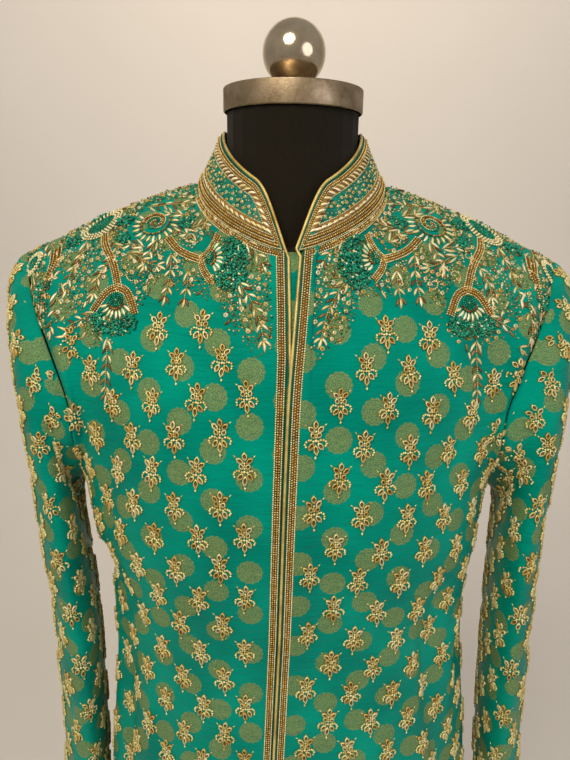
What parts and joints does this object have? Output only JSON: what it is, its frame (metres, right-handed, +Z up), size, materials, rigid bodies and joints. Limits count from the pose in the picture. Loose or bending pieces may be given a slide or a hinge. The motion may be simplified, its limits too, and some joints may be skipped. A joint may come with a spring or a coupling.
{
  "type": "sherwani coat on a limbless dress form",
  "caption": "Knee-length embroidered brocade sherwani with stand collar, overlapping front opening and full sleeves, worn by a black limbless dress form on a pole and round base.",
  "frame": {"origin": "centre of the base plate's underside, on the floor", "axes": "+Z up, -Y the way the coat faces, +X the wearer's left"},
  "size_m": [0.5531, 0.38, 1.583],
  "materials": {
    "emerald_brocade": "woven silk brocade, lined",
    "zardozi_border": "bead and metal thread embroidery",
    "gold_satin": "satin covered cord",
    "black_form": "matt black covered form",
    "aged_metal": "scuffed, aged",
    "chrome": "polished",
    "stand_metal": "satin dark paint"
  },
  "bodies": {
    "root": {"front_left": "emerald_brocade", "front_right": "emerald_brocade", "back": "emerald_brocade", "sleeve_left": "emerald_brocade", "sleeve_right": "emerald_brocade", "underlap": "emerald_brocade", "collar": "zardozi_border", "border_left": "zardozi_border", "border_right": "zardozi_border", "piping_left": "gold_satin", "piping_right": "gold_satin", "piping_collar": "gold_satin", "form_torso": "black_form", "neck_cap": "aged_metal", "cap_ball": "chrome", "pole": "stand_metal", "base_plate": "stand_metal"}
  },
  "joints": []
}
